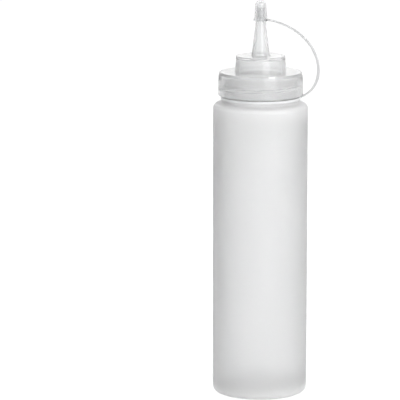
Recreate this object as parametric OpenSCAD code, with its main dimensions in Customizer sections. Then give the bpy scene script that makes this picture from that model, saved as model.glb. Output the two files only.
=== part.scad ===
// Dispensing sauce bottle: blow-moulded bottle, screw cap with a cone nozzle, and a tethered tip cap.
// Millimetres, +Z up, origin at the centre of the foot, strap towards +X.

/* [Bottle] */
// Outside diameter of the body
body_d = 60; // [52:1:70]
// Height of the bottle up to the outer edge of its shoulder
shoulder_h = 186.1; // [150:0.1:220]
// Wall of the bottle
body_wall = 1.2; // [0.9:0.1:1.8]
// Radius of the rounded edge at the foot
foot_r = 3.5; // [2:0.5:6]
// Radius of the rounded edge at the shoulder
shoulder_r = 3.5; // [2:0.5:5]
// How much the shoulder rises from its edge to the collar
shoulder_rise = 0.9; // [0.3:0.1:2]
// Width of the flat ring that the bottle stands on
foot_ring_w = 5; // [3:0.5:8]
// Depth of the hollow inside that ring
foot_hollow_h = 1.6; // [0.8:0.1:2.5]

/* [Neck] */
// Outside diameter of the collar below the thread, which carries the tether's ring
collar_d = 48.4; // [46:0.1:52]
// Height of the collar above the shoulder
collar_h = 4.4; // [3.5:0.1:6]
// Outside diameter of the neck's wall
neck_d = 45.6; // [42:0.1:48]
// Wall of the neck
neck_wall = 1.8; // [1.2:0.1:2.4]
// Height of the threaded neck above the collar
neck_h = 11.9; // [11:0.1:15]

/* [Thread] */
// Rise of the thread in one turn
thread_pitch = 4; // [3.6:0.1:5]
// Turns of thread on the neck and in the cap
thread_turns = 1.5; // [1:0.25:1.75]
// How far each thread stands out of its wall
thread_depth = 1.3; // [1:0.1:1.3]
// Width of a thread at its wall
thread_root_w = 2; // [1.6:0.1:2.2]
// Width of a thread at its crest
thread_crest_w = 0.8; // [0.6:0.1:1]
// Gap between the two threads' flanks when the cap is tight
thread_gap = 0.3; // [0.2:0.05:0.4]

/* [Screw cap] */
// Outside diameter of the skirt
skirt_d = 54; // [53:0.5:58]
// Outside diameter of the skirt's top edge
skirt_top_d = 51.8; // [50:0.1:53]
// Height of the skirt
skirt_h = 14.7; // [14:0.1:18]
// Height of the tapered part at the skirt's top
skirt_taper_h = 5.6; // [3:0.1:8]
// Gap between the crest of the neck's thread and the inside of the skirt
skirt_gap = 0.4; // [0.3:0.05:0.6]
// Thickness of the cap's flat tops
cap_top_t = 2; // [1.5:0.1:2.4]
// Diameter at the foot of the raised step
step_d = 32.6; // [28:0.1:36]
// Diameter at the top of the raised step
step_top_d = 31; // [27:0.1:34]
// Height of the raised step
step_h = 10.2; // [7:0.1:14]
// Wall of the raised step
step_wall = 1.8; // [1.4:0.1:2.4]

/* [Nozzle] */
// Diameter at the foot of the nozzle's cone
nozzle_d = 11.2; // [10:0.1:13]
// Diameter at the nozzle's tip
tip_d = 3.8; // [3.6:0.1:4.4]
// Height of the nozzle
nozzle_h = 30.2; // [27:0.1:34]
// Diameter of the outlet
outlet_d = 2; // [1.6:0.1:2.2]
// Wall of the nozzle at its foot
nozzle_wall = 1.4; // [1.1:0.1:1.6]

/* [Liner] */
// Thickness of the sealing washer
liner_t = 1; // [0.8:0.1:1.5]
// Width of the washer inside the mouth's edge
liner_lap = 2.5; // [1:0.1:3]

/* [Tether] */
// Gap between the collar and the tether's ring
ring_gap = 0.1; // [0.08:0.01:0.12]
// Wall of the ring
ring_wall = 0.9; // [0.7:0.1:1.2]
// Height of the ring
ring_h = 1.8; // [1.4:0.1:2]
// Gap between the ring and the underside of the skirt
ring_drop = 0.9; // [0.5:0.1:1]
// Width of the strap
strap_w = 3; // [2:0.1:4]
// Thickness of the strap at the ring
strap_root_t = 1.1; // [0.8:0.1:1.2]
// Thickness of the strap where it is stoutest
strap_belly_t = 1.9; // [1.6:0.1:2.1]
// Thickness of the strap at the tip cap
strap_tip_t = 1.1; // [0.9:0.1:1.3]
// Angle at which the strap leaves the ring
strap_root_a = 21; // [19:1:23]
// How far the strap runs on in that direction before it curls up
strap_root_reach = 23; // [20:1:26]
// Angle at which the strap meets the tip cap
strap_tip_a = 170; // [165:1:175]
// How far the strap runs level before it reaches the tip cap
strap_tip_reach = 34; // [30:1:38]
// Gap at each flexing place of the strap
flex_gap = 0.15; // [0.1:0.05:0.25]

/* [Tip cap] */
// How much of the nozzle the tip cap covers
tip_cap_lap = 8.3; // [7:0.1:10]
// Diameter of the flange at the mouth
tip_flange_d = 9.2; // [8.8:0.1:10]
// Thickness of that flange
tip_flange_t = 1.4; // [1:0.1:1.8]
// Outside diameter just above the flange
tip_cap_d = 8; // [7.8:0.1:8.4]
// Outside diameter where the dome begins
tip_dome_d = 6.4; // [6.2:0.1:6.8]
// Gap between the mouth and the nozzle
tip_mouth_gap = 0.33; // [0.3:0.01:0.4]
// Gap between the bore and the nozzle's tip
tip_bore_gap = 0.6; // [0.5:0.05:0.65]
// Empty height above the nozzle's tip
tip_space_h = 1.6; // [1:0.1:2]

/* [Hidden] */

// Colours and fineness of the round parts
BOTTLE_COLOUR = [0.93, 0.94, 0.94];
CAP_COLOUR = [0.88, 0.89, 0.90];
LINER_COLOUR = [0.97, 0.97, 0.95];
TETHER_COLOUR = [0.84, 0.86, 0.87];
ROUND_FN = 96;
ARC_STEPS = 6;
// How far a cut runs past the face that it opens
CUT = 1;

// Bottle and neck
body_r = body_d / 2;
collar_r = collar_d / 2;
neck_r = neck_d / 2;
mouth_r = neck_r - neck_wall;
collar_foot_z = shoulder_h + shoulder_rise;
collar_top_z = collar_foot_z + collar_h;
neck_top_z = collar_top_z + neck_h;
foot_hollow_r = body_r - foot_r - foot_ring_w;
foot_hollow_slope_w = 2 * foot_hollow_h;
collar_fillet_r = 0.6;
neck_lip_r = 0.5;
liner_gap = 0.2;

// Threads
thread_step_a = 7.5;
thread_fade_a = 45;
thread_root_depth = 0.5;
thread_lead_in = 4;
thread_start_z = collar_top_z + thread_lead_in;
skirt_inner_r = neck_r + thread_depth + skirt_gap;
// How far below the neck's thread the cap's thread has to lie for their flanks to meet
thread_flank_w =
    (thread_root_w + thread_crest_w - (thread_root_w - thread_crest_w) * skirt_gap / thread_depth) / 2;
thread_offset = thread_flank_w + thread_gap;
liner_r = skirt_inner_r - thread_depth - liner_gap;

// Screw cap
cap_roof_z = neck_top_z + liner_t;
skirt_top_z = cap_roof_z + cap_top_t;
skirt_foot_z = skirt_top_z - skirt_h;
skirt_r = skirt_d / 2;
step_top_z = skirt_top_z + step_h;
step_roof_z = step_top_z - cap_top_t;
tip_z = step_top_z + nozzle_h;
nozzle_flare_h = 1.2;
nozzle_flare_w = 0.6;
outlet_h = 1;
skirt_edge_r = 0.5;
step_edge_r = 0.4;

// Tether and strap
ring_r = collar_r + ring_gap;
ring_top_z = skirt_foot_z - ring_drop;
ring_mid_z = ring_top_z - ring_h / 2;
mouth_z = tip_z - tip_cap_lap;
strap_root_drop = 0.1;
strap_sunk = 0.4;
strap_start = [ring_r + ring_wall / 2, ring_mid_z - strap_root_drop];
strap_end = [tip_flange_d / 2 - strap_sunk, mouth_z + tip_flange_t / 2];
strap_steps = 48;
strap_belly_at = 0.3;
// Places along the strap, from 0 at the ring to 1 at the tip cap, where it flexes
flex_at = [0.07, 0.49, 0.62, 0.74, 0.85, 0.95];

// Tip cap
tip_dome_r = tip_dome_d / 2;
tip_dome_z = tip_z + tip_space_h;
tip_cavity_drop = 0.4;
tip_cavity_step = 0.3;
tip_mouth_r = nozzle_r(mouth_z) + tip_mouth_gap;
tip_bore_r = tip_d / 2 + tip_bore_gap;
tip_cavity_r = tip_bore_r - tip_cavity_step;

// Outside radius of the nozzle's cone at a height
function nozzle_r(z) = nozzle_d / 2 - (z - step_top_z) * (nozzle_d - tip_d) / 2 / nozzle_h;

// Points of a round edge about [x, z], from angle a to angle b
function edge(x, z, r, a, b) =
    [for (i = [0:ARC_STEPS]) let (t = a + (b - a) * i / ARC_STEPS) [x + r * cos(t), z + r * sin(t)]];

// Point of the strap's centre line at t from 0 to 1, in the X-Z plane
function strap_point(t) = let (
    p1 = strap_start + strap_root_reach * [cos(strap_root_a), sin(strap_root_a)],
    p2 = strap_end - strap_tip_reach * [cos(strap_tip_a), sin(strap_tip_a)],
    s = 1 - t)
    s * s * s * strap_start + 3 * t * s * s * p1 + 3 * t * t * s * p2 + t * t * t * strap_end;

// Direction of the strap's centre line at t
function strap_dir(t) = let (d = strap_point(t + 0.001) - strap_point(t - 0.001)) d / norm(d);

// Thickness of the strap at t
function strap_t(t) = t < strap_belly_at
    ? strap_root_t + (strap_belly_t - strap_root_t) * t / strap_belly_at
    : strap_belly_t + (strap_tip_t - strap_belly_t) * (t - strap_belly_at) / (1 - strap_belly_at);

// Point on one side of the strap at t: side is 1 for the inner side and -1 for the outer
function strap_side(t, side) = let (d = strap_dir(t))
    strap_point(t) + side * strap_t(t) / 2 * [-d[1], d[0]];

// Where the strap starts again behind flexing place i, as a value of t
function after_flex(i) = let (t = flex_at[i], speed = norm(strap_point(t + 0.01) - strap_point(t)) / 0.01)
    t + (strap_t(t) / 2 + flex_gap) / speed;

// A helical ridge: root_r is its wall, side is 1 for one that stands outwards and -1 for inwards
module thread_ridge(root_r, start_z, side) {
    turn_a = thread_turns * 360;
    steps = round(turn_a / thread_step_a);
    inner_w = thread_root_w + (thread_root_w - thread_crest_w) * thread_root_depth / thread_depth;
    function fade(a) = min(1, (a + thread_step_a) / thread_fade_a, (turn_a + thread_step_a - a) / thread_fade_a);
    function corner(a, r, dz) = [r * cos(a), r * sin(a), start_z + thread_pitch * a / 360 + dz];
    points = [for (i = [0:steps]) let (
        a = turn_a * i / steps,
        root = root_r - side * thread_root_depth,
        crest = root_r + side * thread_depth * fade(a))
        each [corner(a, root, -inner_w / 2), corner(a, crest, -thread_crest_w / 2),
              corner(a, crest, thread_crest_w / 2), corner(a, root, inner_w / 2)]];
    strips = [for (i = [0:steps - 1], k = [0:3]) let (p = 4 * i + k, q = 4 * i + (k + 1) % 4)
        each [[p, q, p + 4], [q, q + 4, p + 4]]];
    last = 4 * steps;
    faces = concat(strips, [[0, 2, 1], [0, 3, 2], [last, last + 1, last + 2], [last, last + 2, last + 3]]);
    polyhedron(points, side > 0 ? faces : [for (f = faces) [f[0], f[2], f[1]]], convexity = 6);
}

// The bottle: foot, straight wall, shoulder, collar and threaded neck, in one moulding
module bottle() {
    floor_z = foot_hollow_h + body_wall;
    inner_r = body_r - body_wall;
    collar_inner_r = collar_r - neck_wall;
    outer = concat(
        [[0, foot_hollow_h], [foot_hollow_r - foot_hollow_slope_w, foot_hollow_h], [foot_hollow_r, 0]],
        edge(body_r - foot_r, foot_r, foot_r, -90, 0),
        edge(body_r - shoulder_r, shoulder_h - shoulder_r, shoulder_r, 0, 90),
        edge(collar_r + collar_fillet_r, collar_foot_z + collar_fillet_r, collar_fillet_r, -90, -180),
        [[collar_r, collar_top_z - (collar_r - neck_r) / 2], [neck_r, collar_top_z],
         [neck_r, neck_top_z - neck_lip_r], [neck_r - neck_lip_r, neck_top_z], [0, neck_top_z]]);
    inner = concat(
        [[0, floor_z], [inner_r - foot_r, floor_z]],
        edge(inner_r - foot_r + body_wall, floor_z + foot_r - body_wall, foot_r - body_wall, -60, 0),
        edge(body_r - shoulder_r, shoulder_h - shoulder_r, shoulder_r - body_wall, 0, 90),
        [[collar_inner_r, collar_foot_z - body_wall], [collar_inner_r, collar_top_z - neck_wall],
         [mouth_r, collar_top_z], [mouth_r, neck_top_z + CUT], [0, neck_top_z + CUT]]);
    color(BOTTLE_COLOUR) {
        difference() {
            rotate_extrude($fn = ROUND_FN) polygon(outer);
            rotate_extrude($fn = ROUND_FN) polygon(inner);
        }
        thread_ridge(neck_r, thread_start_z, 1);
    }
}

// The screw cap: threaded skirt, raised step and nozzle, in one moulding
module screw_cap() {
    skirt_top_r = skirt_top_d / 2;
    bore_foot_r = nozzle_d / 2 - nozzle_wall;
    outer = concat(
        [[0, skirt_foot_z], [skirt_r - skirt_edge_r, skirt_foot_z], [skirt_r, skirt_foot_z + skirt_edge_r],
         [skirt_r, skirt_top_z - skirt_taper_h], [skirt_top_r + skirt_edge_r, skirt_top_z - 2 * skirt_edge_r]],
        edge(skirt_top_r - skirt_edge_r, skirt_top_z - skirt_edge_r, skirt_edge_r, 30, 90),
        [[step_d / 2, skirt_top_z]],
        edge(step_top_d / 2 - step_edge_r, step_top_z - step_edge_r, step_edge_r, 0, 90),
        [[nozzle_d / 2 + nozzle_flare_w, step_top_z],
         [nozzle_r(step_top_z + nozzle_flare_h), step_top_z + nozzle_flare_h],
         [tip_d / 2, tip_z], [0, tip_z]]);
    inner = [[0, skirt_foot_z - CUT], [skirt_inner_r, skirt_foot_z - CUT], [skirt_inner_r, cap_roof_z],
             [step_d / 2 - step_wall, cap_roof_z], [step_top_d / 2 - step_wall, step_roof_z],
             [bore_foot_r, step_roof_z], [outlet_d / 2, tip_z - outlet_h], [outlet_d / 2, tip_z + CUT],
             [0, tip_z + CUT]];
    color(CAP_COLOUR) {
        difference() {
            rotate_extrude($fn = ROUND_FN) polygon(outer);
            rotate_extrude($fn = ROUND_FN) polygon(inner);
        }
        thread_ridge(skirt_inner_r, thread_start_z - thread_offset, -1);
    }
}

// The washer that seals the mouth against the underside of the cap
module cap_liner() {
    color(LINER_COLOUR) translate([0, 0, neck_top_z]) difference() {
        cylinder(h = liner_t, r = liner_r, $fn = ROUND_FN);
        translate([0, 0, -CUT]) cylinder(h = liner_t + 2 * CUT, r = mouth_r - liner_lap, $fn = ROUND_FN);
    }
}

// A stretch of the strap from t = from to t = to, as a bar across Y
module strap_bar(from, to) {
    steps = max(2, ceil((to - from) * strap_steps));
    outline = concat(
        [for (i = [0:steps]) strap_side(from + (to - from) * i / steps, -1)],
        [for (i = [steps:-1:0]) strap_side(from + (to - from) * i / steps, 1)]);
    translate([0, strap_w / 2, 0]) rotate([90, 0, 0]) linear_extrude(height = strap_w) polygon(outline);
}

// The round end of the strap at flexing place i
module strap_round(i) {
    p = strap_point(flex_at[i]);
    translate([p[0], strap_w / 2, p[1]]) rotate([90, 0, 0])
        cylinder(h = strap_w, r = strap_t(flex_at[i]) / 2, $fn = 32);
}

// The ring on the collar, with the root of the strap
module tether_ring() {
    color(TETHER_COLOUR) {
        translate([0, 0, ring_top_z - ring_h]) difference() {
            cylinder(h = ring_h, r = ring_r + ring_wall, $fn = ROUND_FN);
            translate([0, 0, -CUT]) cylinder(h = ring_h + 2 * CUT, r = ring_r, $fn = ROUND_FN);
        }
        strap_bar(0, flex_at[0]);
        strap_round(0);
    }
}

// Link i of the strap, between flexing places i and i + 1, counted from 1
module strap_link(i) {
    color(TETHER_COLOUR) {
        strap_bar(after_flex(i - 1), flex_at[i]);
        strap_round(i);
    }
}

// The tip cap on the nozzle, with the end of the strap
module tip_cap() {
    outer = concat(
        [[0, mouth_z], [tip_flange_d / 2, mouth_z], [tip_flange_d / 2, mouth_z + tip_flange_t],
         [tip_cap_d / 2, mouth_z + tip_flange_t]],
        edge(0, tip_dome_z, tip_dome_r, 0, 90));
    inner = concat(
        [[0, mouth_z - CUT], [tip_mouth_r, mouth_z - CUT], [tip_mouth_r, mouth_z], [tip_bore_r, tip_z]],
        edge(0, tip_dome_z - tip_cavity_drop, tip_cavity_r, 0, 90));
    color(TETHER_COLOUR) difference() {
        union() {
            rotate_extrude($fn = ROUND_FN) polygon(outer);
            strap_bar(after_flex(len(flex_at) - 1), 1);
        }
        rotate_extrude($fn = ROUND_FN) polygon(inner);
    }
}

bottle();
screw_cap();
cap_liner();
tether_ring();
strap_link(1);  // strap_link_1
strap_link(2);  // strap_link_2
strap_link(3);  // strap_link_3
strap_link(4);  // strap_link_4
strap_link(5);  // strap_link_5
tip_cap();
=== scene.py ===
"""Looks of a see-through sauce bottle: blown bottle, screw cap with a cone nozzle, tip cap on a strap.

Shapes are worked out in millimetres and laid down in metres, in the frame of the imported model.
"""
import logging
import math
from collections.abc import Callable, Sequence
from dataclasses import dataclass, field, replace
from enum import Enum

import bpy
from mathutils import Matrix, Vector


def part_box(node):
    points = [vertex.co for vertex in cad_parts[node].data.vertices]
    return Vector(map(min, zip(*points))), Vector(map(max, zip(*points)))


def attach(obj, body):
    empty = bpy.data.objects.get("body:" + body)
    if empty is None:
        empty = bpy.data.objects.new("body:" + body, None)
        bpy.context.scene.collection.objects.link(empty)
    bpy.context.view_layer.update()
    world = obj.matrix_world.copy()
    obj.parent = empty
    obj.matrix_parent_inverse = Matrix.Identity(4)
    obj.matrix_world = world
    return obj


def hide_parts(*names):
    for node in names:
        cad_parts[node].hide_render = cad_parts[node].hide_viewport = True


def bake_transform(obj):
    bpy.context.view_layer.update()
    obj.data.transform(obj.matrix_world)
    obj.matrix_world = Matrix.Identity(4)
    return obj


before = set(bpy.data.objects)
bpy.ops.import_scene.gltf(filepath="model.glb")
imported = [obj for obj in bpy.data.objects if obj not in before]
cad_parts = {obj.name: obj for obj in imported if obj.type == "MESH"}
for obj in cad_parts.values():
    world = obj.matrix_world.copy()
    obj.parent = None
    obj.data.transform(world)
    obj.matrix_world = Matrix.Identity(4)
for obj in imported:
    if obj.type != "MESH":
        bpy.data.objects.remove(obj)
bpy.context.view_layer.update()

log = logging.getLogger("sauce_bottle")

MM = 0.001
FULL_TURN = 2 * math.pi
# How near a point has to be, in millimetres, to count as on the axis or on a wall.
ON_AXIS = 1e-6
ON_WALL = 1e-3
# Part of a side that one rounding may take: where the side's other end is rounded too, and where it isn't.
SHARED_SIDE = 0.49
WHOLE_SIDE = 0.99

Point = tuple[float, float]
Triple = tuple[float, float, float]
Corner = Triple
Relief = Callable[[float, float, float], float]
Socket = bpy.types.NodeSocket
Tree = bpy.types.NodeTree


def top_of(node: str) -> float:
    """Height of a node's highest point, in millimetres.

    Args:
        node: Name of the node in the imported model.

    Returns:
        The height above the surface that the bottle stands on.
    """
    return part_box(node)[1].z / MM


def smooth_step(x: float) -> float:
    """Ease from 0 to 1 as x goes from 0 to 1, and hold the ends."""
    x = min(1.0, max(0.0, x))
    return x * x * (3 - 2 * x)


@dataclass(frozen=True)
class Shading:
    """Short ways to add value nodes to a tree."""

    tree: Tree

    def work(self, operation: str, *values: Socket | float) -> Socket:
        """Add one step of arithmetic.

        Args:
            operation: Blender's name of the step.
            values: The values that it takes.

        Returns:
            The result's socket.
        """
        step = self.tree.nodes.new("ShaderNodeMath")
        step.operation = operation
        for entry, value in zip(step.inputs, values):
            if isinstance(value, Socket):
                self.tree.links.new(value, entry)
            else:
                entry.default_value = value
        return step.outputs["Value"]

    def eased(self, value: Socket, ends: Point, results: Point) -> Socket:
        """Ease from one result to another as a value goes from one end to the other.

        Args:
            value: The value.
            ends: Where the change starts and where it ends.
            results: The result before the change and after it.

        Returns:
            The result's socket.
        """
        ramp = self.tree.nodes.new("ShaderNodeMapRange")
        ramp.interpolation_type = "SMOOTHSTEP"
        settings = zip(("From Min", "From Max", "To Min", "To Max"), (*ends, *results))
        for name, number in settings:
            ramp.inputs[name].default_value = number
        self.tree.links.new(value, ramp.inputs["Value"])
        return ramp.outputs["Result"]

    def parts(self, vector: Socket) -> list[Socket]:
        """Split a vector into its x, y and z."""
        split = self.tree.nodes.new("ShaderNodeSeparateXYZ")
        self.tree.links.new(vector, split.inputs["Vector"])
        return list(split.outputs)


class Grain(Enum):
    """How fine the skin of a plastic is: size of its grain in millimetres, and depth of its bump."""

    BLOWN = (0.9, 0.05)
    MOULDED = (2.2, 0.006)
    POLISHED = (3.0, 0.002)
    FOAM = (0.35, 0.25)


@dataclass(frozen=True)
class PlasticFinish:
    """A moulded plastic, from clear to milky.

    Attributes:
        name: Name of the material.
        slot: The record's material slot that it stands for; not used.
        tint: Colour where the plastic is thin.
        cloud: Colour where it is cloudier.
        roughness: Roughness of the skin.
        clearness: Share of the light that goes through, and not back.
        grain: Texture of the skin.
        milk: Share of the rest that spreads under the skin before it comes back.
        milk_depth: How far it spreads there, in millimetres.
        ior: Index of refraction.
        cloud_size: Size of the cloudy patches, in millimetres.
        detail: Levels of finer noise in the patches and in the grain.
        gloss_spread: How far the roughness strays with the patches, as a share of it.
        bump: Strength of the grain's bump.
        thick_below: Height under which the wall is thick, and where that has faded out, in millimetres.
        thick_above: Height from which the wall starts to be thick, and where it fully is.
        thin_above: Height from which it starts to be thin again, and where it fully is.
        thick_clearness: Share of the light that goes through where the wall is thick.
    """

    name: str
    slot: str
    tint: Triple
    cloud: Triple
    roughness: float
    clearness: float
    grain: Grain
    milk: float = 0.0
    milk_depth: float = 3.0
    ior: float = 1.5
    cloud_size: float = 26.0
    detail: Point = (3.0, 2.0)
    gloss_spread: float = 0.15
    bump: float = 0.5
    thick_below: Point | None = None
    thick_above: Point = (0, 0)
    thin_above: Point = (0, 0)
    thick_clearness: float = 0.0

    def noise(self, tree: Tree, size: float, detail: float) -> bpy.types.Node:
        """Add a noise that is fixed to the piece.

        Args:
            tree: The material's nodes.
            size: Size of its patches, in millimetres.
            detail: Levels of finer noise inside it.

        Returns:
            The noise node.
        """
        place = tree.nodes.new("ShaderNodeTexCoord")
        noise = tree.nodes.new("ShaderNodeTexNoise")
        noise.inputs["Scale"].default_value = 1 / (size * MM)
        noise.inputs["Detail"].default_value = detail
        tree.links.new(place.outputs["Object"], noise.inputs["Vector"])
        return noise

    def thicken(self, tree: Tree, shader: bpy.types.Node) -> None:
        """Let less light through where the wall is thick, at both ends of a blown piece.

        Args:
            tree: The material's nodes.
            shader: Its shader.
        """
        shading = Shading(tree)
        height = shading.parts(tree.nodes.new("ShaderNodeTexCoord").outputs["Object"])[2]
        foot, shoulder, neck = (
            [z * MM for z in ends] for ends in (self.thick_below, self.thick_above, self.thin_above))
        above_shoulder = shading.eased(height, shoulder, (0, 1))
        below_neck = shading.eased(height, neck, (1, 0))
        band = shading.work("MINIMUM", above_shoulder, below_neck)
        thick = shading.work("MAXIMUM", shading.eased(height, foot, (1, 0)), band)
        clear = shading.eased(thick, (0, 1), (self.clearness, self.thick_clearness))
        tree.links.new(clear, shader.inputs["Transmission Weight"])

    def material(self) -> bpy.types.Material:
        """Build the material, once.

        Returns:
            The material with this finish's name.
        """
        made = bpy.data.materials.get(self.name)
        if made is not None:
            return made
        made = bpy.data.materials.new(self.name)
        made.use_nodes = True
        tree = made.node_tree
        shader = tree.nodes["Principled BSDF"]
        shader.inputs["IOR"].default_value = self.ior
        shader.inputs["Transmission Weight"].default_value = self.clearness
        shader.inputs["Subsurface Weight"].default_value = self.milk
        shader.inputs["Subsurface Radius"].default_value = (1, 1, 1)
        shader.inputs["Subsurface Scale"].default_value = self.milk_depth * MM
        if self.thick_below is not None:
            self.thicken(tree, shader)

        clouds = self.noise(tree, self.cloud_size, self.detail[0])
        colours = tree.nodes.new("ShaderNodeMix")
        colours.data_type = "RGBA"
        colours.inputs["A"].default_value = (*self.tint, 1)
        colours.inputs["B"].default_value = (*self.cloud, 1)
        tree.links.new(clouds.outputs["Fac"], colours.inputs["Factor"])
        tree.links.new(colours.outputs["Result"], shader.inputs["Base Color"])

        gloss = tree.nodes.new("ShaderNodeMapRange")
        gloss.inputs["To Min"].default_value = self.roughness * (1 - self.gloss_spread)
        gloss.inputs["To Max"].default_value = self.roughness * (1 + self.gloss_spread)
        tree.links.new(clouds.outputs["Fac"], gloss.inputs["Value"])
        tree.links.new(gloss.outputs["Result"], shader.inputs["Roughness"])

        grain_size, grain_depth = self.grain.value
        skin = self.noise(tree, grain_size, self.detail[1])
        bump = tree.nodes.new("ShaderNodeBump")
        bump.inputs["Strength"].default_value = self.bump
        bump.inputs["Distance"].default_value = grain_depth * MM
        tree.links.new(skin.outputs["Fac"], bump.inputs["Height"])
        tree.links.new(bump.outputs["Normal"], shader.inputs["Normal"])
        return made


BOTTLE_PLASTIC = PlasticFinish(
    name="frosted_bottle_plastic", slot="bottle_plastic",
    tint=(0.995, 0.997, 1.0), cloud=(0.985, 0.988, 0.99),
    roughness=0.42, clearness=0.72, grain=Grain.BLOWN, milk=1.0,
    thick_below=(1, 10), thick_above=(170, 187), thin_above=(190, 192), thick_clearness=0.42)
CAP_PLASTIC = PlasticFinish(
    name="cloudy_cap_plastic", slot="cap_plastic",
    tint=(0.992, 0.995, 0.998), cloud=(0.96, 0.965, 0.97),
    roughness=0.12, clearness=0.76, grain=Grain.MOULDED)
TETHER_PLASTIC = PlasticFinish(
    name="soft_tether_plastic", slot="tether_plastic",
    tint=(0.94, 0.943, 0.946), cloud=(0.9, 0.905, 0.91),
    roughness=0.14, clearness=0.9, grain=Grain.POLISHED, ior=1.45)
# Painted shade: the strap is the same plastic as the ring and tip cap, given a much darker tint to carry the
# shade that falls on it.
STRAP_PLASTIC = PlasticFinish(
    name="painted_shade_strap_plastic", slot="tether_plastic",
    tint=(0.73, 0.735, 0.74), cloud=(0.65, 0.655, 0.66),
    roughness=0.3, clearness=0.85, grain=Grain.POLISHED)
RING_PLASTIC = replace(
    STRAP_PLASTIC, name="thin_tether_plastic",
    tint=(0.93, 0.935, 0.94), cloud=(0.9, 0.905, 0.91), clearness=0.3)
LINER_FOAM = PlasticFinish(
    name="liner_foam", slot="liner_foam",
    tint=(0.9, 0.9, 0.88), cloud=(0.84, 0.84, 0.82),
    roughness=0.7, clearness=0.0, grain=Grain.FOAM, cloud_size=8.0)


def rounded(corners: Sequence[Corner], looped: bool, arc_steps: int = 6) -> list[Point]:
    """Turn corners with radii into an outline whose corners are arcs.

    Args:
        corners: Each corner as (x, z, radius of its rounding).
        looped: Whether the last corner runs on to the first.
        arc_steps: Steps along each arc.

    Returns:
        The outline's points.
    """
    outline: list[Point] = []
    last = len(corners) - 1
    for k, (x, z, radius) in enumerate(corners):
        if radius == 0 or (not looped and k in (0, last)):
            outline.append((x, z))
            continue
        corner = Vector((x, z))
        before, after = corners[k - 1], corners[(k + 1) % len(corners)]
        back, ahead = Vector(before[:2]) - corner, Vector(after[:2]) - corner
        half = back.angle(ahead) / 2
        sides = ((before, back), (after, ahead))
        room = min((SHARED_SIDE if other[2] else WHOLE_SIDE) * side.length for other, side in sides)
        reach = min(radius / math.tan(half), room)
        back.normalize()
        ahead.normalize()
        centre = corner + (back + ahead).normalized() * reach / math.cos(half)
        start = corner + back * reach - centre
        end = corner + ahead * reach - centre
        first = math.atan2(start.y, start.x)
        swing = math.remainder(math.atan2(end.y, end.x) - first, FULL_TURN)
        for i in range(arc_steps + 1):
            angle = first + swing * i / arc_steps
            outline.append((centre.x + start.length * math.cos(angle),
                            centre.y + start.length * math.sin(angle)))
    return outline


def spaced(outline: Sequence[Point], looped: bool, step: float, fine: "Thread | None" = None) -> list[Point]:
    """Add points along an outline's long stretches.

    Args:
        outline: The outline's points.
        looped: Whether the last point runs on to the first.
        step: Longest stretch between two points.
        fine: A thread, beside which the stretches are short enough to carry it.

    Returns:
        The outline with the points added.
    """
    dense: list[Point] = []
    count = len(outline)
    for k in range(count if looped else count - 1):
        a, b = Vector(outline[k]), Vector(outline[(k + 1) % count])
        reach = step
        if fine is not None and fine.touches(a.x, min(a.y, b.y), max(a.y, b.y)):
            reach = fine.row_step
        pieces = max(1, math.ceil((b - a).length / reach))
        dense += [tuple(a.lerp(b, i / pieces)) for i in range(pieces)]
    if not looped:
        dense.append(outline[-1])
    return dense


def even_columns(count: int) -> list[float]:
    """Angles of evenly spaced columns round an axis."""
    return [FULL_TURN * i / count for i in range(count)]


@dataclass
class Skin:
    """The points and faces of one piece, gathered in millimetres."""

    points: list[Triple] = field(default_factory=list)
    faces: list[tuple[int, ...]] = field(default_factory=list)

    def turn(self, outline: Sequence[Point], looped: bool, columns: Sequence[float],
             relief: Relief | None = None) -> None:
        """Turn an outline round the upright axis.

        Args:
            outline: Points as (distance from the axis, height). An open one starts and ends on the axis.
            looped: Whether the outline closes on itself, clear of the axis.
            columns: Angles of the columns.
            relief: Distance that a point stands out of the outline, from its angle, radius and height.
        """
        rings: list[list[int]] = []
        for r, z in outline:
            if r < ON_AXIS:
                self.points.append((0.0, 0.0, z))
                rings.append([len(self.points) - 1])
                continue
            ring = []
            for angle in columns:
                out = r + (relief(angle, r, z) if relief else 0.0)
                self.points.append((out * math.cos(angle), out * math.sin(angle), z))
                ring.append(len(self.points) - 1)
            rings.append(ring)
        count = len(columns)
        for k in range(len(rings) if looped else len(rings) - 1):
            low, high = rings[k], rings[(k + 1) % len(rings)]
            for i in range(count):
                j = (i + 1) % count
                if len(low) == 1:
                    self.faces.append((low[0], high[j], high[i]))
                elif len(high) == 1:
                    self.faces.append((low[i], low[j], high[0]))
                else:
                    self.faces.append((low[i], low[j], high[j], high[i]))

    def tube(self, sections: Sequence[Sequence[Triple]]) -> None:
        """Join closed sections into a bar with closed ends.

        Args:
            sections: The points of each section, as many in each.
        """
        start = len(self.points)
        sides = len(sections[0])
        for section in sections:
            self.points += section
        for k in range(len(sections) - 1):
            row = start + k * sides
            for i in range(sides):
                j = (i + 1) % sides
                self.faces.append((row + i, row + j, row + sides + j, row + sides + i))
        end = start + (len(sections) - 1) * sides
        self.faces.append(tuple(start + i for i in reversed(range(sides))))
        self.faces.append(tuple(end + i for i in range(sides)))

    def piece(self, name: str, finish: PlasticFinish, crease: float = 38.0) -> bpy.types.Object:
        """Lay the skin down as a smooth object in metres.

        Args:
            name: Name of the object.
            finish: What it is made of.
            crease: Angle in degrees above which an edge stays sharp.

        Returns:
            The object.
        """
        mesh = bpy.data.meshes.new(name)
        mesh.from_pydata([(x * MM, y * MM, z * MM) for x, y, z in self.points], [], self.faces)
        mesh.validate()
        mesh.shade_smooth()
        mesh.set_sharp_from_angle(angle=math.radians(crease))
        mesh.materials.append(finish.material())
        made = bpy.data.objects.new(name, mesh)
        bpy.context.scene.collection.objects.link(made)
        log.info("%s: %d points, %s", name, len(self.points), finish.name)
        return made


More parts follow.
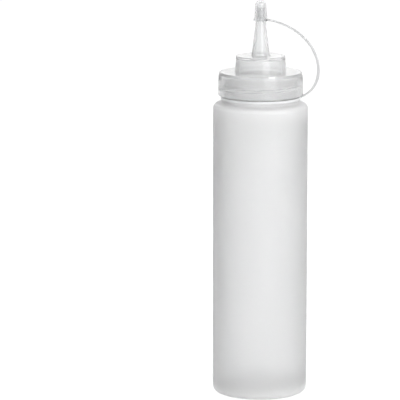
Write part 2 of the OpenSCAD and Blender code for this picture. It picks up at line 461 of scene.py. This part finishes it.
@dataclass(frozen=True)
class Thread:
    """A helical ridge on a round wall.

    Attributes:
        wall: Radius of the wall.
        start: Height of the ridge's middle where it starts, at angle 0.
        outward: 1 where the ridge stands away from the axis, and -1 where it stands towards it.
        pitch: Rise in one turn.
        turns: Turns of ridge.
        depth: How far it stands out of the wall.
        root_width: Width at the wall.
        crest_width: Width at the crest.
        fade: Turn, in radians, over which each end runs out.
        row_step: Spacing of the rows that carry the ridge.
    """

    wall: float
    start: float
    outward: int
    pitch: float = 4.0
    turns: float = 1.5
    depth: float = 1.3
    root_width: float = 2.0
    crest_width: float = 0.8
    fade: float = math.radians(45)
    row_step: float = 0.28

    def touches(self, r: float, low: float, high: float) -> bool:
        """Whether a stretch of outline lies on the threaded wall.

        Args:
            r: Its distance from the axis.
            low: Its lower end.
            high: Its upper end.

        Returns:
            True if the thread stands on it.
        """
        on_wall = abs(r - self.wall) < ON_WALL
        return on_wall and high > self.start - self.root_width and low < self.start + self.pitch * self.turns

    def relief(self, angle: float, r: float, z: float) -> float:
        """How far the ridge stands out at one place.

        Args:
            angle: Angle round the axis.
            r: Radius of the outline there.
            z: Height.

        Returns:
            Distance away from the axis, in millimetres.
        """
        if abs(r - self.wall) > ON_WALL:
            return 0.0
        height = 0.0
        for turn in range(math.ceil(self.turns)):
            along = angle + turn * FULL_TURN
            end = self.turns * FULL_TURN
            if along > end:
                continue
            run_out = smooth_step(min(along, end - along) / self.fade)
            aside = abs(z - self.start - self.pitch * along / FULL_TURN)
            flank = (self.root_width / 2 - aside) / (self.root_width - self.crest_width) * 2
            height = max(height, run_out * smooth_step(flank))
        return self.outward * self.depth * height


@dataclass(frozen=True)
class Wave:
    """A gentle wave round and along a blown wall.

    Attributes:
        depth: How far it swings to each side.
        count: Crests round the axis.
        run: Height in millimetres over which it shifts by one radian. Below 0 it shifts the other way.
    """

    depth: float
    count: int
    run: float

    def at(self, angle: float, z: float) -> float:
        """How far it stands out at one place."""
        return self.depth * math.sin(self.count * angle + z / self.run)


@dataclass(frozen=True)
class Bottle:
    """The blown bottle: foot, wall, shoulder, collar and threaded neck.

    Attributes:
        body: Radius of the body.
        wall: Thickness of its wall.
        foot_round: Radius of the edge at the foot.
        foot_ring: Width of the ring that it stands on.
        ring_round: Radius of the ring's inner edge.
        foot_hollow: Depth of the hollow inside the ring.
        hollow_slope: Width of the slope up to the hollow.
        hollow_round: Radius where that slope ends.
        shoulder: Height of the shoulder's outer edge.
        shoulder_round: Radius of that edge.
        shoulder_rise: Rise from there to the collar.
        collar: Radius of the collar.
        collar_height: Height of the collar.
        collar_round: Radius where the shoulder meets it.
        collar_slope: Height of the slope from it to the neck.
        slope_round: Radius of that slope's edges.
        inside_round: Radius of the corners inside the collar.
        neck: Radius of the neck.
        neck_wall: Thickness of the neck.
        neck_round: Radius at the neck's foot, inside.
        lip_round: Radius of the mouth's edges.
        thread_lead: Height of the thread's start above the collar.
        seam: How far the mould's parting line stands out of the wall.
        seam_half: Half the angle across that line, in degrees.
        seam_columns: Extra columns on each side of it, in degrees.
        seams: Angles at which it runs up the wall.
        sunk: How far the wall's unevenness lies below the parting line.
        outer_waves: Unevenness of the wall's outside, as shares of that.
        inner_waves: Unevenness of its inside, in millimetres.
        pinch_length: Length of the weld left by the mould under the foot.
        pinch_half: Half its width, in the middle and at its ends.
        pinch_taper: Length over which it narrows to them.
        pinch_depth: How deep its middle lies in the wall.
        around: Columns of points round it.
        row_step: Longest step between rows of points.
    """

    body: float = 30.0
    wall: float = 1.2
    foot_round: float = 3.5
    foot_ring: float = 5.0
    ring_round: float = 0.6
    foot_hollow: float = 1.6
    hollow_slope: float = 3.0
    hollow_round: float = 2.0
    shoulder: float = 186.1
    shoulder_round: float = 3.5
    shoulder_rise: float = 0.9
    collar: float = 24.2
    collar_height: float = 4.4
    collar_round: float = 1.4
    collar_slope: float = 0.7
    slope_round: float = 0.3
    inside_round: float = 0.6
    neck: float = 22.8
    neck_wall: float = 1.8
    neck_round: float = 1.0
    lip_round: float = 0.5
    thread_lead: float = 4.0
    seam: float = 0.06
    seam_half: float = 0.6
    seam_columns: tuple[float, ...] = (0.35, 0.8)
    seams: tuple[float, ...] = (0.0, math.pi)
    sunk: float = 0.05
    outer_waves: tuple[Wave, ...] = (Wave(0.25, 3, 23), Wave(0.25, 2, -31))
    inner_waves: tuple[Wave, ...] = (Wave(0.12, 2, 19), Wave(0.08, 5, -11))
    pinch_length: float = 24.0
    pinch_half: Point = (0.5, 0.15)
    pinch_taper: float = 1.0
    pinch_depth: float = 0.2
    around: int = 144
    row_step: float = 6.0

    @property
    def collar_foot(self) -> float:
        """Height at which the collar starts."""
        return self.shoulder + self.shoulder_rise

    @property
    def collar_top(self) -> float:
        """Height at which the neck starts."""
        return self.collar_foot + self.collar_height

    @property
    def mouth(self) -> float:
        """Radius of the mouth."""
        return self.neck - self.neck_wall

    def thread(self) -> Thread:
        """The thread on the neck."""
        return Thread(self.neck, self.collar_top + self.thread_lead, 1)

    def outline(self) -> list[Point]:
        """The outline of the wall, from the middle of the foot, round the mouth and back inside.

        Returns:
            Points from axis to axis.
        """
        top = top_of("bottle")
        hollow_edge = self.body - self.foot_round - self.foot_ring
        floor = self.foot_hollow + self.wall
        inside = self.body - self.wall
        collar_inside = self.collar - self.neck_wall
        corners = [
            (0, self.foot_hollow, 0),
            (hollow_edge - self.hollow_slope, self.foot_hollow, self.hollow_round),
            (hollow_edge, 0, self.ring_round),
            (self.body, 0, self.foot_round),
            (self.body, self.shoulder, self.shoulder_round),
            (self.collar, self.collar_foot, self.collar_round),
            (self.collar, self.collar_top - self.collar_slope, self.slope_round),
            (self.neck, self.collar_top, self.slope_round),
            (self.neck, top, self.lip_round),
            (self.mouth, top, self.lip_round),
            (self.mouth, self.collar_top, self.neck_round),
            (collar_inside, self.collar_top - self.neck_wall, self.inside_round),
            (collar_inside, self.collar_foot - self.wall, self.inside_round),
            (inside, self.shoulder - self.wall, self.shoulder_round - self.wall),
            (inside, floor, self.foot_round - self.wall),
            (0, floor, 0),
        ]
        return spaced(rounded(corners, looped=False), looped=False, step=self.row_step, fine=self.thread())

    def columns(self) -> list[float]:
        """Angles of the columns, closer together along the mould's parting line.

        Returns:
            The angles, in order.
        """
        beside = [math.radians(a) for a in self.seam_columns]
        extra = [seam + sign * a for seam in self.seams for a in beside for sign in (-1, 1)]
        return sorted(a % FULL_TURN for a in even_columns(self.around) + extra)

    def relief(self, angle: float, r: float, z: float) -> float:
        """Unevenness of the blown wall, with the parting line and the thread.

        Args:
            angle: Angle round the axis.
            r: Radius of the outline there.
            z: Height.

        Returns:
            Distance away from the axis, in millimetres.
        """
        inside = self.body - self.wall
        if r > inside + self.wall / 2:
            from_seam = min(abs(math.remainder(angle - seam, FULL_TURN)) for seam in self.seams)
            ridge = smooth_step(1 - from_seam / math.radians(self.seam_half))
            uneven = sum((wave.at(angle, z) for wave in self.outer_waves), 0.5)
            return self.seam * (ridge - 1) - self.sunk * uneven * (1 - ridge)
        if r > inside - self.wall / 2:
            return sum(wave.at(angle, z) for wave in self.inner_waves)
        return self.thread().relief(angle, r, z)

    def pinch_line(self) -> bpy.types.Object:
        """The weld that the mould leaves across the hollow of the foot.

        Returns:
            The object.
        """
        end = self.pinch_length / 2
        full = end - self.pinch_taper
        wide, narrow = self.pinch_half
        stations = ((-end, narrow), (-full, wide), (full, wide), (end, narrow))
        middle = self.foot_hollow + self.pinch_depth
        steps = 8
        arc = [math.pi * i / steps for i in range(steps + 1)]
        skin = Skin()
        skin.tube([
            [(x, half * math.cos(a), middle - (self.pinch_depth + half) * math.sin(a)) for a in arc]
            for x, half in stations])
        return skin.piece("foot_weld", BOTTLE_PLASTIC)

    def build(self) -> None:
        """Make the bottle in place of its node."""
        skin = Skin()
        skin.turn(self.outline(), False, self.columns(), self.relief)
        shell = skin.piece("bottle_shell", BOTTLE_PLASTIC)
        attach(shell, "bottle")
        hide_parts("bottle")
        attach(self.pinch_line(), "bottle")


@dataclass(frozen=True)
class ScrewCap:
    """The screw cap: threaded skirt, raised step and nozzle.

    Attributes:
        foot: Height of the skirt's lower edge.
        skirt: Radius of the skirt.
        skirt_inside: Radius inside the skirt.
        skirt_top: Radius of its top edge.
        skirt_height: Height of the skirt.
        taper: Height of the tapered part at its top.
        roof: Thickness of the flat tops.
        step_foot: Radius at the foot of the raised step.
        step_top: Radius at its top.
        step_height: Height of the step.
        step_wall: Thickness of its wall.
        nozzle: Radius at the foot of the nozzle.
        nozzle_wall: Thickness of its wall there.
        tip: Radius at its tip.
        outlet: Radius of the outlet.
        outlet_length: Length of the narrow outlet.
        thread_start: Height of the thread's start.
        foot_rounds: Radii of the skirt's lower edge, inside and outside.
        taper_round: Radius where the taper starts.
        rim_slope: How far out and down the slope under the top edge starts, and its radius there.
        rim_round: Radius of the top edge.
        step_round: Radius of the step's foot and edge.
        nozzle_flare: Extra radius of the nozzle's foot.
        nozzle_round: Radius where the step and the nozzle meet.
        tip_rounds: Radii of the tip's edge and of the outlet's.
        outlet_round: Radius where the outlet widens.
        inside_rounds: Radii inside: under the step's top, and where the ceiling meets step and skirt.
        around: Columns of points round it.
        row_step: Longest step between rows of points.
    """

    foot: float = 191.6
    skirt: float = 27.0
    skirt_inside: float = 24.5
    skirt_top: float = 25.9
    skirt_height: float = 14.7
    taper: float = 5.6
    roof: float = 2.0
    step_foot: float = 16.3
    step_top: float = 15.5
    step_height: float = 10.2
    step_wall: float = 1.8
    nozzle: float = 5.6
    nozzle_wall: float = 1.4
    tip: float = 1.9
    outlet: float = 1.0
    outlet_length: float = 1.0
    thread_start: float = 193.885
    foot_rounds: Point = (0.3, 0.6)
    taper_round: float = 4.0
    rim_slope: Corner = (0.4, 0.9, 1.0)
    rim_round: float = 0.35
    step_round: float = 0.5
    nozzle_flare: float = 0.15
    nozzle_round: float = 1.0
    tip_rounds: Point = (0.3, 0.2)
    outlet_round: float = 0.3
    inside_rounds: Corner = (0.8, 0.6, 1.0)
    around: int = 144
    row_step: float = 4.0

    def thread(self) -> Thread:
        """The thread inside the skirt."""
        return Thread(self.skirt_inside, self.thread_start, -1)

    def outline(self) -> list[Point]:
        """The outline of the wall, up the outside and down through the nozzle.

        Returns:
            Points of a closed outline.
        """
        skirt_top = self.foot + self.skirt_height
        ceiling = skirt_top - self.roof
        step_top = skirt_top + self.step_height
        step_ceiling = step_top - self.roof
        tip = top_of("screw_cap")
        slope_out, slope_down, slope_round = self.rim_slope
        corners = [
            (self.skirt_inside, self.foot, self.foot_rounds[0]),
            (self.skirt, self.foot, self.foot_rounds[1]),
            (self.skirt, skirt_top - self.taper, self.taper_round),
            (self.skirt_top + slope_out, skirt_top - slope_down, slope_round),
            (self.skirt_top, skirt_top, self.rim_round),
            (self.step_foot, skirt_top, self.step_round),
            (self.step_top, step_top, self.step_round),
            (self.nozzle + self.nozzle_flare, step_top, self.nozzle_round),
            (self.tip, tip, self.tip_rounds[0]),
            (self.outlet, tip, self.tip_rounds[1]),
            (self.outlet, tip - self.outlet_length, self.outlet_round),
            (self.nozzle - self.nozzle_wall, step_ceiling, self.inside_rounds[0]),
            (self.step_top - self.step_wall, step_ceiling, self.inside_rounds[0]),
            (self.step_foot - self.step_wall, ceiling, self.inside_rounds[1]),
            (self.skirt_inside, ceiling, self.inside_rounds[2]),
        ]
        return spaced(rounded(corners, looped=True), looped=True, step=self.row_step, fine=self.thread())

    def build(self) -> None:
        """Make the cap in place of its node."""
        skin = Skin()
        skin.turn(self.outline(), True, even_columns(self.around), self.thread().relief)
        shell = skin.piece("cap_shell", CAP_PLASTIC)
        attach(shell, "cap")
        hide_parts("screw_cap")


@dataclass(frozen=True)
class Liner:
    """The foam washer under the cap's roof.

    Attributes:
        inside: Radius of its hole.
        outside: Radius of its rim.
        bottom: Height of its underside.
        thickness: Its thickness.
        clear: Gap kept above and below, so that no two faces lie in one plane.
        edge_round: Radius of its edges.
        around: Columns of points round it.
    """

    inside: float = 18.5
    outside: float = 23.0
    bottom: float = 203.3
    thickness: float = 1.0
    clear: float = 0.02
    edge_round: float = 0.15
    around: int = 96

    def build(self) -> None:
        """Make the washer in place of its node."""
        low, high = self.bottom + self.clear, self.bottom + self.thickness - self.clear
        places = ((self.inside, low), (self.outside, low), (self.outside, high), (self.inside, high))
        corners = [(x, z, self.edge_round) for x, z in places]
        skin = Skin()
        skin.turn(rounded(corners, looped=True, arc_steps=3), True, even_columns(self.around))
        washer = skin.piece("liner_washer", LINER_FOAM)
        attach(washer, "liner")
        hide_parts("cap_liner")


@dataclass(frozen=True)
class Strap:
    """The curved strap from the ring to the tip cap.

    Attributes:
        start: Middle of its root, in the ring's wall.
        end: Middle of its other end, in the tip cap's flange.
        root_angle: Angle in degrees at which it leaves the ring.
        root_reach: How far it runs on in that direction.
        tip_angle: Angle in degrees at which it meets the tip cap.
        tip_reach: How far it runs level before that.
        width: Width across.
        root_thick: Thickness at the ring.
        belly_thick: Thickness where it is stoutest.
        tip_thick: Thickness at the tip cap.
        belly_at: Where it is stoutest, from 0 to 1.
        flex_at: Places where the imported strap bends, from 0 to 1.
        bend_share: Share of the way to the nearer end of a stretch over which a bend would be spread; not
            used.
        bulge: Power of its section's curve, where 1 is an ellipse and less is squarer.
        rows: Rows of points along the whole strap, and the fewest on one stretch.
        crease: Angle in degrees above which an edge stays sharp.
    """

    start: Point = (24.75, 189.7)
    end: Point = (4.2, 239.1)
    root_angle: float = 21.0
    root_reach: float = 23.0
    tip_angle: float = 170.0
    tip_reach: float = 34.0
    width: float = 3.0
    root_thick: float = 1.1
    belly_thick: float = 1.9
    tip_thick: float = 1.1
    belly_at: float = 0.3
    flex_at: tuple[float, ...] = (0.07, 0.49, 0.62, 0.74, 0.85, 0.95)
    bend_share: float = 0.96
    bulge: float = 0.5
    rows: tuple[int, int] = (110, 8)
    crease: float = 60.0

    def middle(self, t: float) -> Vector:
        """Point of the strap's middle line.

        Args:
            t: Place along it, from 0 to 1.

        Returns:
            The point, as (x, z).
        """
        p0, p3 = Vector(self.start), Vector(self.end)
        root, tip = math.radians(self.root_angle), math.radians(self.tip_angle)
        p1 = p0 + self.root_reach * Vector((math.cos(root), math.sin(root)))
        p2 = p3 - self.tip_reach * Vector((math.cos(tip), math.sin(tip)))
        s = 1 - t
        return s * s * s * p0 + 3 * t * s * s * p1 + 3 * t * t * s * p2 + t * t * t * p3

    def thickness(self, t: float) -> float:
        """Thickness of the strap at a place along it."""
        if t < self.belly_at:
            return self.root_thick + (self.belly_thick - self.root_thick) * t / self.belly_at
        thinning = (t - self.belly_at) / (1 - self.belly_at)
        return self.belly_thick + (self.tip_thick - self.belly_thick) * thinning

    def bulged(self, share: float) -> float:
        """Move a share of the section's half width outward, and keep its sign."""
        return math.copysign(abs(share) ** self.bulge, share)

    def section(self, t: float) -> list[Triple]:
        """The strap's section with rounded edges.

        Args:
            t: Place along the strap.

        Returns:
            Its points.
        """
        sides, nudge = 20, 0.001
        centre = self.middle(t)
        ahead = (self.middle(t + nudge) - self.middle(t - nudge)).normalized()
        aside = Vector((-ahead.y, ahead.x))
        points = []
        for k in range(sides):
            angle = FULL_TURN * k / sides
            across = self.bulged(math.cos(angle)) * self.width / 2
            up = self.bulged(math.sin(angle)) * self.thickness(t) / 2
            points.append((centre.x + aside.x * up, across, centre.y + aside.y * up))
        return points

    def place(self, t: float) -> Triple:
        """A point of the middle line in the frame, in metres."""
        point = self.middle(t)
        return (point.x * MM, 0.0, point.y * MM)

    def build(self) -> None:
        """Make the strap: one stretch over each bending place, from the middle of a link to the next."""
        inner = [(a + b) / 2 for a, b in zip(self.flex_at, self.flex_at[1:])]
        cuts = [0.0] + inner + [1.0]
        all_rows, least_rows = self.rows
        for k in range(len(self.flex_at)):
            first, last = cuts[k], cuts[k + 1]
            rows = max(least_rows, math.ceil((last - first) * all_rows))
            skin = Skin()
            skin.tube([self.section(first + (last - first) * i / rows) for i in range(rows + 1)])
            # Each stretch wears the darker copy of the tether plastic: painted shade on the strap.
            stretch = skin.piece(f"strap_stretch_{k + 1}", STRAP_PLASTIC, self.crease)
            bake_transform(stretch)
            if k > 0:
                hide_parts(f"strap_link_{k}")


@dataclass(frozen=True)
class Tether:
    """The ring on the collar and the tip cap on the nozzle.

    Attributes:
        ring_inside: Radius inside the ring.
        ring_wall: Its wall.
        ring_top: Height of its upper edge.
        ring_height: Its height.
        ring_rounds: Radii of its edges, inside and outside.
        ring_around: Columns of points round it.
        cap_mouth: Height of the tip cap's mouth.
        flange: Radius of the tip cap's flange.
        flange_thick: Thickness of the flange.
        flange_rounds: Radii of its lower edge, its upper edge, and where the cap rises from it.
        cap_foot: Radius of the tip cap above the flange.
        dome: Radius where its dome begins.
        bore_mouth: Radius of its bore at the mouth.
        bore_top: Radius of the bore at the nozzle's tip.
        bore_depth: Height of the bore up to the nozzle's tip.
        bore_rounds: Radii of the bore's ends, at the mouth and at the nozzle's tip.
        cavity: Radius of the empty space above the nozzle.
        crown_shares: Radii of the dome's and the cavity's roundings, as shares of their radii.
        cavity_top: Height of its top above the mouth.
        cap_around: Columns of points round the tip cap.
    """

    ring_inside: float = 24.3
    ring_wall: float = 0.9
    ring_top: float = 190.7
    ring_height: float = 1.8
    ring_rounds: Point = (0.25, 0.3)
    ring_around: int = 120
    cap_mouth: float = 238.4
    flange: float = 4.6
    flange_thick: float = 1.4
    flange_rounds: Corner = (0.3, 0.4, 0.5)
    cap_foot: float = 4.0
    dome: float = 3.2
    bore_mouth: float = 3.247
    bore_top: float = 2.5
    bore_depth: float = 8.3
    bore_rounds: Point = (0.2, 0.5)
    cavity: float = 2.2
    crown_shares: Point = (0.97, 0.95)
    cavity_top: float = 11.7
    cap_around: int = 64

    def ring(self) -> None:
        """Make the ring in place of its node."""
        outside, bottom = self.ring_inside + self.ring_wall, self.ring_top - self.ring_height
        inner_round, outer_round = self.ring_rounds
        corners = [(self.ring_inside, bottom, inner_round), (outside, bottom, outer_round),
                   (outside, self.ring_top, outer_round), (self.ring_inside, self.ring_top, inner_round)]
        skin = Skin()
        skin.turn(rounded(corners, looped=True, arc_steps=4), True, even_columns(self.ring_around))
        ring = skin.piece("collar_ring", RING_PLASTIC)
        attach(ring, "ring")
        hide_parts("tether_ring")

    def tip_cap(self) -> None:
        """Make the tip cap in place of its node."""
        top = top_of("tip_cap")
        mouth = self.cap_mouth
        flange_top = mouth + self.flange_thick
        cavity_top = mouth + self.cavity_top
        corners = [
            (0, cavity_top, 0),
            (self.cavity, cavity_top, self.cavity * self.crown_shares[1]),
            (self.bore_top, mouth + self.bore_depth, self.bore_rounds[1]),
            (self.bore_mouth, mouth, self.bore_rounds[0]),
            (self.flange, mouth, self.flange_rounds[0]),
            (self.flange, flange_top, self.flange_rounds[1]),
            (self.cap_foot, flange_top, self.flange_rounds[2]),
            (self.dome, top, self.dome * self.crown_shares[0]),
            (0, top, 0),
        ]
        outline = spaced(rounded(corners, looped=False, arc_steps=12), looped=False, step=1.5)
        skin = Skin()
        skin.turn(outline, False, even_columns(self.cap_around))
        cap = skin.piece("tip_cap_shell", TETHER_PLASTIC)
        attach(cap, "tip_cap")
        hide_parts("tip_cap")

    def build(self) -> None:
        """Make both pieces."""
        self.ring()
        self.tip_cap()


@dataclass(frozen=True)
class SoftLight:
    """A flat softbox that looks at the bottle.

    Attributes:
        name: Name of the lamp.
        azimuth: Where it stands, in degrees: 0 is in front, and 90 towards +X.
        elevation: How high it stands, in degrees.
        distance: How far off it is, in metres.
        width: Its width, in metres.
        height: Its height, in metres.
        power: Its power, in watts.
        mirrored: Whether gloss and clear plastic show it.
    """

    name: str
    azimuth: float
    elevation: float
    distance: float
    width: float
    height: float
    power: float
    mirrored: bool = True

    def build(self, target: Vector) -> None:
        """Hang the lamp.

        Args:
            target: The point that it looks at.
        """
        a, e = math.radians(self.azimuth), math.radians(self.elevation)
        away = Vector((math.sin(a) * math.cos(e), -math.cos(a) * math.cos(e), math.sin(e)))
        data = bpy.data.lights.new(self.name, "AREA")
        data.shape = "RECTANGLE"
        data.size = self.width
        data.size_y = self.height
        data.energy = self.power
        lamp = bpy.data.objects.new(self.name, data)
        lamp.location = target + away * self.distance
        lamp.rotation_euler = (-away).to_track_quat("-Z", "Y").to_euler()
        lamp.visible_camera = False
        lamp.visible_glossy = self.mirrored
        lamp.visible_transmission = self.mirrored
        bpy.context.scene.collection.objects.link(lamp)


@dataclass(frozen=True)
class Studio:
    """White sweep in a darker room, softboxes and camera.

    The camera sees plain white all round. Gloss and clear plastic see the sweep behind the bottle, and the
    room beside and before it.

    Attributes:
        floor_half: Half the floor's width, in metres.
        floor_drop: How far the floor lies below the foot, in metres.
        floor_colour: Colour of the floor.
        floor_white: Strength of the plain white in the floor.
        floor_share: Share of that plain white, where the rest takes light and shadow.
        floor_roughness: Roughness of the floor.
        floor_gloss: Level of its gloss.
        sweep_half: Half the sweep's width, in metres, and where its edge has faded out.
        sweep_front: Where the sweep starts before the bottle, and where it is fully lit.
        wall_beside: How far its wall reaches to the sides, as parts of a unit direction: full, and faded out.
        wall_shift: How far its wall stands to the right.
        wall_behind: How far back its wall starts, and where it is full.
        wall_top: How high its wall is full, and where it has faded out.
        room: Brightness of the room beside the sweep, as gloss sees it.
        clear_room: Brightness of the room as clear plastic sees it.
        room_light: Strength of the surroundings as a light.
        camera_place: Where the camera stands, in metres.
        camera_pitch: How far it looks down, in degrees.
        lens: Its focal length, in millimetres.
        sensor: Width of its sensor, in millimetres.
        far: How far it sees, in metres.
        lamp_aim: Height of the point that the lamps look at, in metres.
        lamps: The softboxes.
    """

    floor_half: float = 9.0
    floor_drop: float = 0.0002
    floor_colour: Triple = (0.93, 0.93, 0.93)
    floor_white: float = 1.16
    floor_share: float = 0.8
    floor_roughness: float = 0.9
    floor_gloss: float = 0.1
    sweep_half: Point = (0.45, 0.85)
    sweep_front: Point = (-0.7, -0.2)
    wall_beside: Point = (0.5, 0.8)
    wall_shift: float = 0.15
    wall_behind: Point = (-0.1, 0.45)
    wall_top: Point = (0.7, 0.95)
    room: float = 0.35
    clear_room: float = 0.8
    room_light: float = 0.54
    camera_place: Triple = (-0.0382, -1.916, 0.4817)
    camera_pitch: float = 10.58
    lens: float = 276.03
    sensor: float = 36.0
    far: float = 50.0
    lamp_aim: float = 0.13
    lamps: tuple[SoftLight, ...] = (
        SoftLight("streak_box", azimuth=36, elevation=43, distance=1.3, width=0.4, height=0.24, power=5),
        SoftLight("side_box", azimuth=25, elevation=12, distance=1.5, width=0.9, height=1.1, power=6.5),
        SoftLight("front_box", azimuth=0, elevation=28, distance=2.0, width=1.4, height=1.6, power=10.5,
                  mirrored=False),
        SoftLight("back_box", azimuth=180, elevation=45, distance=1.3, width=1.6, height=1.2, power=13,
                  mirrored=False),
        SoftLight("horizon_box", azimuth=180, elevation=12, distance=1.6, width=1.8, height=0.3, power=0.45),
    )

    def brightness(self, shading: Shading, sweep: Socket) -> Socket:
        """Brightness of the surroundings for each kind of ray that sees them.

        Args:
            shading: The tree to add to.
            sweep: 1 on the sweep and 0 beside it.

        Returns:
            1 for the camera, the sweep or the room for gloss and clear plastic, and 0 for all else.
        """
        rays = shading.tree.nodes.new("ShaderNodeLightPath").outputs
        mirrored = shading.work("MULTIPLY", rays["Is Glossy Ray"],
                                shading.eased(sweep, (0, 1), (self.room, 1)))
        passed = shading.work("MULTIPLY", rays["Is Transmission Ray"],
                              shading.eased(sweep, (0, 1), (self.clear_room, 1)))
        return shading.work("MAXIMUM", rays["Is Camera Ray"], shading.work("MAXIMUM", mirrored, passed))

    def surroundings(self) -> None:
        """Make the white surroundings."""
        world = bpy.data.worlds.new("white_room")
        world.use_nodes = True
        bpy.context.scene.world = world
        shading = Shading(world.node_tree)
        x, y, z = shading.parts(world.node_tree.nodes.new("ShaderNodeTexCoord").outputs["Generated"])
        from_middle = shading.work("ABSOLUTE", shading.work("SUBTRACT", x, self.wall_shift))
        beside = shading.eased(from_middle, self.wall_beside, (1, 0))
        behind = shading.eased(y, self.wall_behind, (0, 1))
        below = shading.eased(z, self.wall_top, (1, 0))
        sweep = shading.work("MULTIPLY", shading.work("MULTIPLY", beside, behind), below)
        strength = shading.work("MAXIMUM", self.brightness(shading, sweep), self.room_light)
        background = world.node_tree.nodes["Background"]
        background.inputs["Color"].default_value = (1, 1, 1, 1)
        world.node_tree.links.new(strength, background.inputs["Strength"])

    def floor(self) -> None:
        """Lay the white floor, which keeps the bottle's shadow."""
        half = self.floor_half
        mesh = bpy.data.meshes.new("floor")
        corners = [(x * half, y * half, -self.floor_drop) for x, y in ((-1, -1), (1, -1), (1, 1), (-1, 1))]
        mesh.from_pydata(corners, [], [(0, 1, 2, 3)])
        material = bpy.data.materials.new("white_floor")
        material.use_nodes = True
        tree = material.node_tree
        shading = Shading(tree)
        x, y, _ = shading.parts(tree.nodes.new("ShaderNodeNewGeometry").outputs["Position"])
        beside = shading.eased(shading.work("ABSOLUTE", x), self.sweep_half, (1, 0))
        behind = shading.eased(y, self.sweep_front, (0, 1))
        white = self.brightness(shading, shading.work("MULTIPLY", beside, behind))
        shader = tree.nodes["Principled BSDF"]
        shader.inputs["Base Color"].default_value = (*self.floor_colour, 1)
        shader.inputs["Roughness"].default_value = self.floor_roughness
        shader.inputs["Specular IOR Level"].default_value = self.floor_gloss
        glow = tree.nodes.new("ShaderNodeEmission")
        tree.links.new(shading.work("MULTIPLY", white, self.floor_white), glow.inputs["Strength"])
        mix = tree.nodes.new("ShaderNodeMixShader")
        seen = shading.work("GREATER_THAN", white, 0.0)
        tree.links.new(shading.work("MULTIPLY", seen, self.floor_share), mix.inputs["Fac"])
        tree.links.new(shader.outputs["BSDF"], mix.inputs[1])
        tree.links.new(glow.outputs["Emission"], mix.inputs[2])
        tree.links.new(mix.outputs["Shader"], tree.nodes["Material Output"].inputs["Surface"])
        mesh.materials.append(material)
        plane = bpy.data.objects.new("floor", mesh)
        bpy.context.scene.collection.objects.link(plane)

    def camera(self) -> None:
        """Set up the camera of the photo."""
        data = bpy.data.cameras.new("camera")
        data.lens = self.lens
        data.sensor_width = self.sensor
        data.clip_end = self.far
        camera = bpy.data.objects.new("camera", data)
        camera.location = self.camera_place
        camera.rotation_euler = (math.radians(90 - self.camera_pitch), 0, 0)
        bpy.context.scene.collection.objects.link(camera)
        bpy.context.scene.camera = camera

    def build(self) -> None:
        """Make the whole studio."""
        bpy.context.scene.view_settings.view_transform = "Standard"
        self.surroundings()
        self.floor()
        for lamp in self.lamps:
            lamp.build(Vector((0, 0, self.lamp_aim)))
        self.camera()


def main() -> None:
    """Build every piece and the studio, in order."""
    logging.basicConfig(level=logging.INFO, format="%(message)s")
    Studio().build()
    for maker in (Bottle(), ScrewCap(), Liner(), Tether(), Strap()):
        maker.build()
        log.info("%s: done", type(maker).__name__)


if __name__ == "__main__":
    main()
